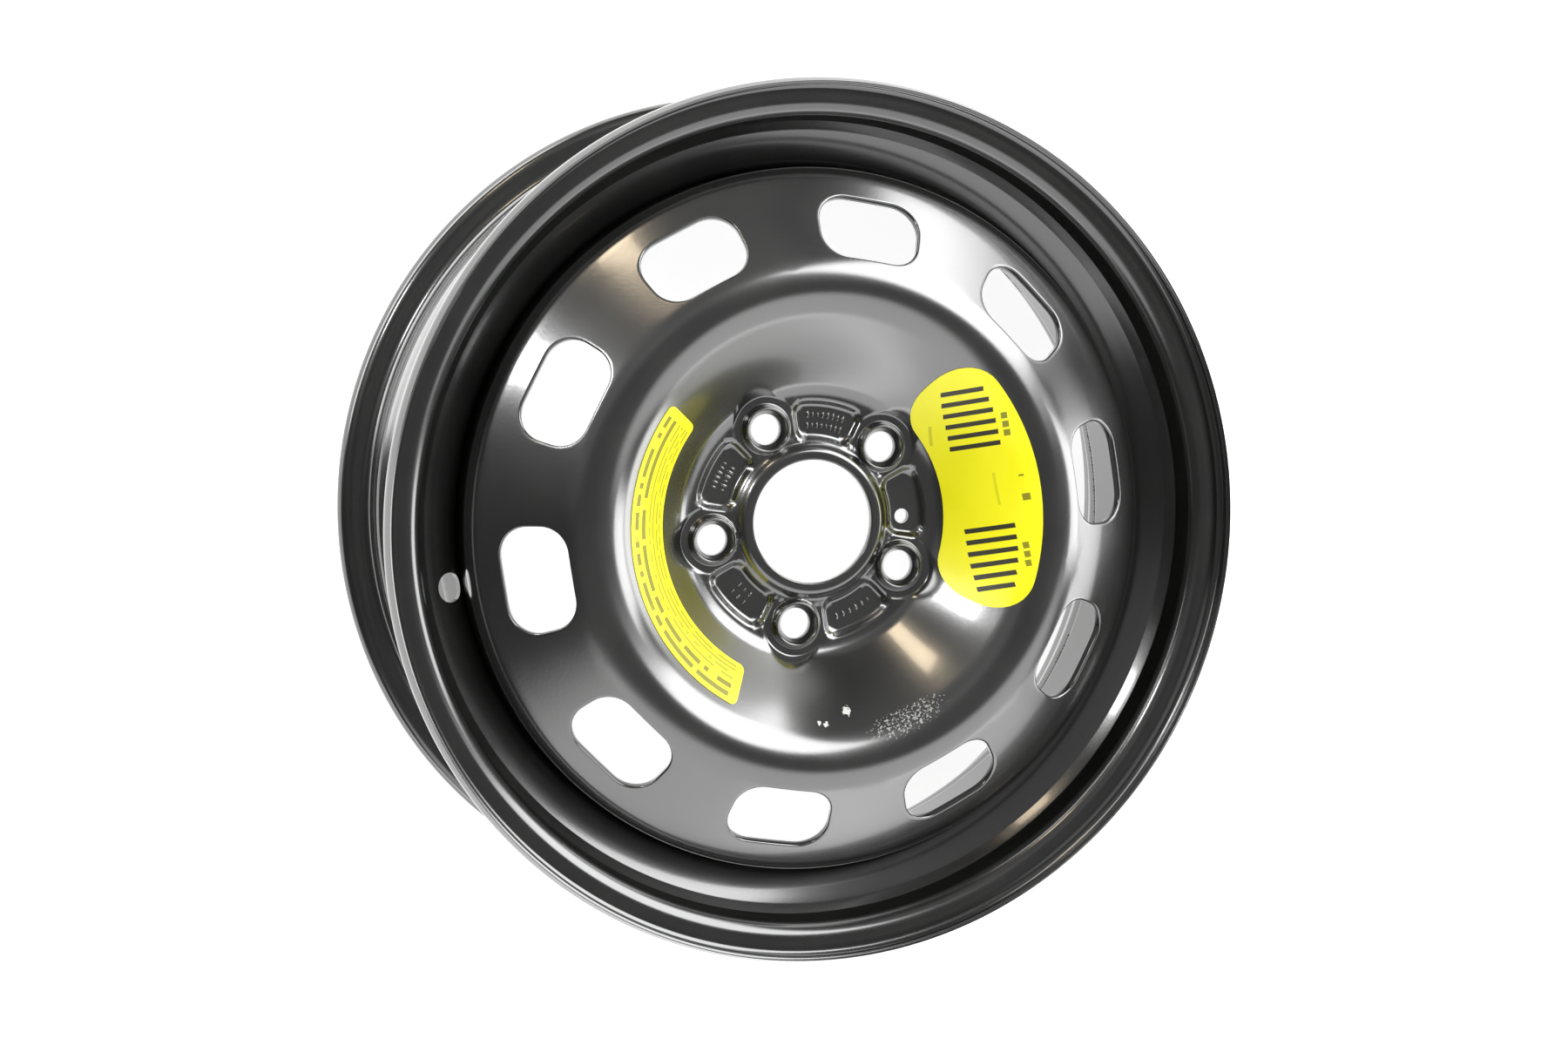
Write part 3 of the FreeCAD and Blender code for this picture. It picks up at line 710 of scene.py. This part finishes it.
ripple = flow.node("GeometryNodeMeshUVSphere", {}, {"Segments": 10, "Rings": 6, "Radius": 1.0})
laid_weld = flow.node("GeometryNodeInstanceOnPoints", {}, {
    "Points": line, "Instance": ripple,
    "Rotation": flow.node("ShaderNodeCombineXYZ", {}, {2: weld_turn}),
    "Scale": flow.node("ShaderNodeCombineXYZ", {}, {
        0: given["Leg"] * (0.62 + wobble), 1: given["Leg"] * 0.44,
        2: given["Leg"] * (0.62 + wobble)})})
painted_result(flow, laid_weld, given["Paint"])
weld = grown("weld_runs", bpy.data.meshes.new("weld_runs"), group, {
    "Radius": 0.1902, "Height": -0.038, "Runs": 8, "Sweep": math.radians(25), "Ripples": 40,
    "Leg": 0.0045, "Paint": painted_weld})
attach(weld, "root")
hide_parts("weld_beads")


# Stickers: two pieces of yellow vinyl film, cut to follow the dome and pressed on over the
# paint. Their print is plain blocks and bars.
def sector_points(inner, outer, half, corner, count):
    """Outline of a ring sector about angle 0 with rounded corners, as radius and angle."""
    far, near = outer - corner, inner + corner
    far_turn, near_turn = half - math.asin(corner / far), half - math.asin(corner / near)
    spots = []
    for centre_radius, centre_turn, first, last in (
        (far, -far_turn, -half - math.pi / 2, -far_turn),
        (far, far_turn, far_turn, half + math.pi / 2),
        (near, near_turn, half + math.pi / 2, near_turn + math.pi),
        (near, -near_turn, -near_turn + math.pi, 3 * math.pi / 2 - half),
    ):
        for t in np.linspace(first, last, count):
            spots.append((centre_radius * math.cos(centre_turn) + corner * math.cos(t),
                          centre_radius * math.sin(centre_turn) + corner * math.sin(t)))
    spots = np.array(spots)
    polar = np.stack([np.hypot(*spots.T), np.arctan2(spots[:, 1], spots[:, 0])], 1)
    filled = []
    for a, b in zip(polar, np.roll(polar, -1, axis=0)):
        steps = max(1, math.ceil(math.hypot(b[0] - a[0], (b[1] - a[1]) * a[0]) / 1.5))
        filled += [a + (b - a) * share for share in np.arange(steps) / steps]
    return np.array(filled)


FILM_TOP, FILM_UNDER = 0.35, 0.1


def film_on_dome(name, inner, outer, middle, half, corner, material):
    """A thin film on the dome, a layer of glue above the paint."""
    rim_line = sector_points(inner, outer, math.radians(half), corner, 10)
    inside = []
    for radius in np.arange(inner + 1.2, outer - 0.9, 1.5):
        turns_here = np.arange(-math.radians(half), math.radians(half), 1.8 / radius)
        inside += [(radius, t) for t in turns_here]
    inside = np.array(inside)
    x, y = inside[:, 0] * np.cos(inside[:, 1]), inside[:, 0] * np.sin(inside[:, 1])
    line = np.stack(
        [rim_line[:, 0] * np.cos(rim_line[:, 1]), rim_line[:, 0] * np.sin(rim_line[:, 1])], 1)
    gaps = np.hypot(x[:, None] - line[:, 0], y[:, None] - line[:, 1]).min(axis=1)
    crossings = np.zeros(len(x), int)
    for a, b in zip(line, np.roll(line, -1, axis=0)):
        crosses = (a[1] > y) != (b[1] > y)
        with np.errstate(divide="ignore", invalid="ignore"):
            crossings += crosses & (x < (b[0] - a[0]) * (y - a[1]) / (b[1] - a[1]) + a[0])
    inside = np.stack([x, y], 1)[(crossings % 2 == 1) & (gaps > 0.8)]
    count = len(line)
    loop = [(i, (i + 1) % count) for i in range(count)]
    laid_film = geometry.delaunay_2d_cdt(
        [Vector(p) for p in np.concatenate([line, inside])], loop, [], 1, 1e-5)
    spots = np.array([tuple(v) for v in laid_film[0]])
    radius, turn = np.hypot(*spots.T), np.arctan2(spots[:, 1], spots[:, 0]) + math.radians(middle)
    slope = (face_height(radius + 0.05) - face_height(radius - 0.05)) / 0.1
    lean = np.sqrt(1 + slope ** 2)
    places = []
    for lift in (FILM_TOP, FILM_UNDER):
        moved = radius - lift * slope / lean
        places.append(np.stack([
            moved * np.cos(turn), moved * np.sin(turn), face_height(radius) + lift / lean], 1))
    triangles = [tuple(f) for f in laid_film[2]]
    many = len(spots)
    faces = triangles + [tuple(i + many for i in f[::-1]) for f in triangles]
    faces += [(a, b, b + many, a + many) for a, b in loop]
    film = piece_from(name, np.concatenate(places), faces, material)
    film.data.set_sharp_from_angle(angle=math.radians(40))
    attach(film, "root")
    return film


def film_material(name, middle):
    """Yellow film without print, and the film's own axes in millimetres and radians."""
    material, tree, shader = new_material(name)
    spot = tree.node("ShaderNodeTexCoord", output=3)
    east = tree.node("ShaderNodeSeparateXYZ", {}, {0: spot})
    north = Shade(tree.tree, east.socket.node.outputs[1])
    turn = math.radians(middle)
    outward = (east * math.cos(turn) + north * math.sin(turn)) * 1000
    aside = (north * math.cos(turn) - east * math.sin(turn)) * 1000
    return material, tree, shader, outward, aside


def print_on(tree, shader, ink):
    """Feed the film's surface: yellow vinyl, darkened by the ink."""
    spot = tree.node("ShaderNodeTexCoord", output=3)
    cloud = tree.node("ShaderNodeTexNoise", {}, {"Vector": spot, "Scale": 60.0, "Detail": 3.0})
    yellow = cloud.between(0.3, 0.7).mix((0.90, 0.85, 0.010, 1), (0.93, 0.88, 0.016, 1))
    feed(
        tree, shader,
        Base_Color=ink.mix(yellow, (0.030, 0.028, 0.016, 1)),
        Roughness=0.26 + cloud * 0.08 + ink * 0.06,
        Normal=tree.node("ShaderNodeBump", {}, {"Strength": 0.05, "Distance": 0.0003, "Height": cloud}),
    )


large_film, tree, shader, outward, aside = film_material("large_sticker_film", 182.7)
# Printed bars as place outward and aside, half sizes both ways, and strength.
BARS = [
    (89.0, 53.0, 10.0, 1.3, 1.0), (90.2, 46.8, 11.0, 1.3, 1.0), (91.2, 40.6, 11.5, 1.3, 1.0),
    (92.0, 34.4, 11.5, 1.3, 1.0), (92.6, 28.2, 11.5, 1.3, 1.0), (93.0, 22.0, 11.5, 1.3, 1.0),
    (92.6, -24.0, 11.5, 1.3, 1.0), (92.0, -30.2, 11.5, 1.3, 1.0), (91.2, -36.4, 11.5, 1.3, 1.0),
    (90.2, -42.6, 11.0, 1.3, 1.0), (89.0, -48.8, 10.0, 1.3, 1.0), (87.6, -55.0, 9.0, 1.3, 1.0),
    (107.5, 36.4, 1.5, 1.7, 0.75), (107.8, 31.6, 1.5, 1.7, 0.75), (108.0, 26.8, 1.5, 1.7, 0.75),
    (106.6, -35.4, 1.5, 1.7, 0.75), (106.2, -40.2, 1.5, 1.7, 0.75), (105.6, -45.0, 1.5, 1.7, 0.75),
    (112.0, -9.6, 1.9, 1.9, 0.75), (111.4, 2.4, 1.2, 0.5, 0.75),
    (73.4, 31.0, 0.7, 5.5, 0.3), (99.3, -3.0, 0.6, 9.0, 0.22),
]
ink = None
for place, side, half_out, half_aside, strength in BARS:
    past = (outward - place).size() - half_out
    past = past.most((aside - side).size() - half_aside)
    mark = (1 - past.between(-0.1, 0.1)) * strength
    ink = mark if ink is None else ink.most(mark)
print_on(tree, shader, ink)
speed_film = film_on_dome("large_sticker", 75, 120, 182.7, 39, 20, large_film)
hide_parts("speed_label")

curved_film, tree, shader, outward, aside = film_material("curved_sticker_film", 3.0)
ring = (outward * outward + aside * aside).root()
swing = aside.math("ARCTAN2", aside, outward)
# Printed rows of dashes as radius, half height, length of one step and strength.
ROWS = [
    (103.6, 1.2, 3.1, 0.78), (99.2, 1.2, 3.1, 0.78), (95.2, 0.55, 2.3, 0.6),
    (92.9, 0.55, 2.3, 0.6), (90.6, 0.55, 2.3, 0.6), (88.6, 0.55, 2.3, 0.6),
]
ink = None
for radius, half, pitch, strength in ROWS:
    step = swing * (radius / pitch)
    filled = tree.node(
        "ShaderNodeTexWhiteNoise", {"noise_dimensions": "1D"},
        {"W": step.math("FLOOR", step) + radius * 10})
    mark = filled.between(0.2, 0.21) * (1 - (ring - radius).size().between(half - 0.1, half + 0.1))
    mark = mark * (1 - swing.size().between(math.radians(46.4), math.radians(46.6))) * strength
    ink = mark if ink is None else ink.most(mark)
print_on(tree, shader, ink)
notice_film = film_on_dome("curved_sticker", 86.5, 107.5, 3.0, 49.6, 3.5, curved_film)
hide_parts("notice_label")


# Struck marks: rows of plain rounded bumps in the floors of four pads, part of the disc's own
# steel. The press's inserts leave them, and the paint covers them.
group, flow, given = new_group("struck_marks", (
    ("Geometry", "NodeSocketGeometry"), ("Tall", "NodeSocketFloat"), ("Wide", "NodeSocketFloat"),
    ("Rise", "NodeSocketFloat"), ("Seed", "NodeSocketInt"), ("Paint", "NodeSocketMaterial")))
east = flow.node("ShaderNodeSeparateXYZ", {}, {0: flow.node("GeometryNodeInputPosition")})
north = Shade(group, east.socket.node.outputs[1])
each = flow.node("GeometryNodeInputIndex")
share = flow.node(
    "FunctionNodeRandomValue", {"data_type": "FLOAT"},
    {2: 0.55, 3: 1.0, "ID": each, "Seed": given["Seed"]}, 1)
laid_marks = flow.node("GeometryNodeInstanceOnPoints", {}, {
    "Points": given["Geometry"],
    "Instance": flow.node("GeometryNodeMeshUVSphere", {}, {"Segments": 8, "Rings": 6, "Radius": 0.5}),
    "Rotation": flow.node("ShaderNodeCombineXYZ", {}, {2: north.math("ARCTAN2", north, east)}),
    "Scale": flow.node("ShaderNodeCombineXYZ", {}, {
        0: given["Tall"] * share, 1: given["Wide"] * share, 2: given["Rise"]})})
painted_result(flow, laid_marks, given["Paint"])
# Rows as the pad's angle, radius, count and pitch.
STRUCK = [(252, 57.6, 8, 2.9), (252, 51.8, 8, 2.7), (-36, 57.2, 6, 2.8), (-36, 52.0, 6, 2.6),
          (36, 56.8, 3, 4.4), (36, 51.6, 3, 4.0), (108, 55.0, 6, 4.0)]
struck_spots = []
for pad, radius, count, pitch in STRUCK:
    for k in range(count):
        turn = math.radians(pad) + (k - (count - 1) / 2) * pitch / radius
        struck_spots.append(
            (radius * math.cos(turn) / 1000, radius * math.sin(turn) / 1000, PAD_FLOOR / 1000))
struck_mesh = bpy.data.meshes.new("struck_marks")
struck_mesh.from_pydata(struck_spots, [], [])
struck = grown("struck_marks", struck_mesh, group, {
    "Tall": 0.0046, "Wide": 0.0019, "Rise": 0.0013, "Seed": 3, "Paint": disc_paint})
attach(struck, "root")


# Studio: a pale floor under the wheel, walls of white cloth round it, two small lamps, and
# the camera looking down on the outboard face.
floor_paint, tree, shader = new_material("pale_floor")
shader.inputs["Base Color"].default_value = (0.86, 0.86, 0.86, 1)
shader.inputs["Roughness"].default_value = 0.9
shader.inputs["Specular IOR Level"].default_value = 0.0
path = tree.node("ShaderNodeLightPath")
seen = (path * 0.88).most(Shade(tree.tree, path.socket.node.outputs["Is Glossy Ray"]))
glow = tree.node("ShaderNodeEmission", {}, {"Color": (1, 1, 1, 1), "Strength": seen})
lit = tree.node("ShaderNodeAddShader", {}, {0: Shade(tree.tree, shader.outputs[0]), 1: glow})
tree.tree.links.new(lit.socket, tree.tree.nodes["Material Output"].inputs[0])
floor_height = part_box("rim")[0].z
floor_mesh = bpy.data.meshes.new("floor")
floor_mesh.from_pydata(
    [(x, y, floor_height) for x, y in ((-6, -6), (6, -6), (6, 6), (-6, 6))], [], [(0, 1, 2, 3)])
floor_mesh.materials.append(floor_paint)
floor = bpy.data.objects.new("floor", floor_mesh)
bpy.context.scene.collection.objects.link(floor)

world = bpy.data.worlds.new("studio")
world.use_nodes = True
bpy.context.scene.world = world
sky = Shade(world.node_tree)
path = sky.node("ShaderNodeLightPath")
way = sky.node("ShaderNodeTexCoord")
# Walls of white cloth as azimuth and elevation of the middle, half width, half height and
# feather in degrees, and radiance.
CLOTHS = [
    (-149, 40, 17, 22, 3, 7.0), (-172, 40, 8, 20, 4, 0.8), (-140, 8, 26, 10, 5, 1.5),
    (170, 23, 10, 12, 3, 6.0), (170, 0, 28, 8, 4, 6.0), (-52, 0, 33, 15, 4, 7.5),
    (45, -4, 20, 10, 5, 4.5), (96, 40, 44, 24, 6, 1.7), (92, 12, 48, 9, 5, 1.7),
    (-72, 52, 34, 20, 8, 0.25), (0, 90, 28, 28, 8, 0.08),
]
tent = None
for azimuth, elevation, wide, tall, feather, radiance in CLOTHS:
    turn, lift = math.radians(azimuth), math.radians(elevation)
    aim = Vector((math.cos(lift) * math.cos(turn), math.cos(lift) * math.sin(turn), math.sin(lift)))
    aside = Vector((-math.sin(turn), math.cos(turn), 0))
    depth, across, above = (
        sky.node("ShaderNodeVectorMath", {"operation": "DOT_PRODUCT"}, {0: way, 1: axis}, 1)
        for axis in (aim, aside, aim.cross(aside)))
    cloth = depth.between(0.0, 0.1) * radiance
    for place, half in ((across, wide), (above, tall)):
        low, high = math.tan(math.radians(half - feather)), math.tan(math.radians(half + feather))
        cloth = cloth * (1 - (place / depth).size().between(low, high))
    tent = 0.1 + cloth if tent is None else tent + cloth
shine = world.node_tree.nodes["Background"]
shine.inputs["Color"].default_value = (1, 1, 1, 1)
world.node_tree.links.new((path + (1 - path) * tent).socket, shine.inputs["Strength"])

# Square lamps as name, direction from the wheel, width, radiance and colour.
LAMP_DISTANCE = 1.6
LAMPS = [
    ("side_lamp", (0.599, -0.559, 0.574), 0.24, 26.0, (1, 1, 1)),
    ("warm_lamp", (0.234, -0.815, 0.530), 0.20, 11.0, (1, 0.82, 0.58)),
]
for name, outward_way, width, radiance, colour in LAMPS:
    lamp = bpy.data.lights.new(name, "AREA")
    lamp.shape = "RECTANGLE"
    lamp.size, lamp.size_y = width, width
    lamp.energy = radiance * math.pi * width * width
    lamp.color = colour
    holder = bpy.data.objects.new(name, lamp)
    outward_way = Vector(outward_way).normalized()
    holder.location = outward_way * LAMP_DISTANCE
    holder.rotation_euler = outward_way.to_track_quat("Z", "Y").to_euler()
    bpy.context.scene.collection.objects.link(holder)

lens = bpy.data.cameras.new("camera")
lens.lens, lens.sensor_width = 62.88, 36.0
lens.sensor_fit = "HORIZONTAL"
lens.clip_start, lens.clip_end = 0.05, 30
camera = bpy.data.objects.new("camera", lens)
view_right = Vector((-0.94342, 0.14856, 0.29646))
view_up = Vector((-0.18024, -0.98017, -0.08243))
view_back = Vector((0.27833, -0.13120, 0.95148))
camera.matrix_world = Matrix.Translation((0.42574, -0.19553, 1.41097)) @ Matrix(
    (view_right, view_up, view_back)).transposed().to_4x4()
bpy.context.scene.collection.objects.link(camera)
bpy.context.scene.camera = camera
bpy.context.scene.view_settings.view_transform = "Standard"
